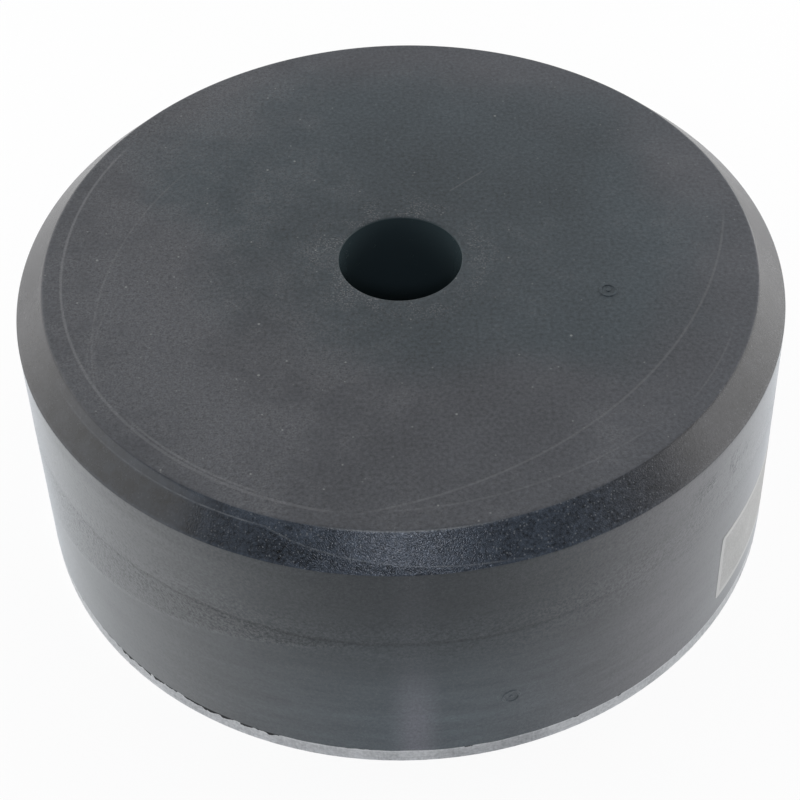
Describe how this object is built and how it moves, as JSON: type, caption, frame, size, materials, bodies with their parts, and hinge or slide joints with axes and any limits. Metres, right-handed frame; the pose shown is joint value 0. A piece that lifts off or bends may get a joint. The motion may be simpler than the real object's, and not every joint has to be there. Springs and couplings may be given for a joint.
{
  "type": "impact buffer",
  "caption": "Round elastomer buffer block with a chamfered strike face and a central access bore, bonded to a steel base plate with a fixing hole.",
  "frame": {"origin": "centre of the base plate's underside, on the axis of the bores", "axes": "+Z along the axis from the base plate up to the strike face; the label lies on the +X side, turned towards -Y"},
  "size_m": [0.2, 0.2, 0.08],
  "materials": {
    "elastomer": "matte moulded skin with a fine grain",
    "adhesive": "cured black film",
    "steel": "sheet steel, bright cut edge and satin faces",
    "label": "blank satin film, faded"
  },
  "bodies": {
    "root": {"elastomer_block": "elastomer", "bonding_layer": "adhesive", "base_plate": "steel", "type_label": "label"}
  },
  "joints": []
}
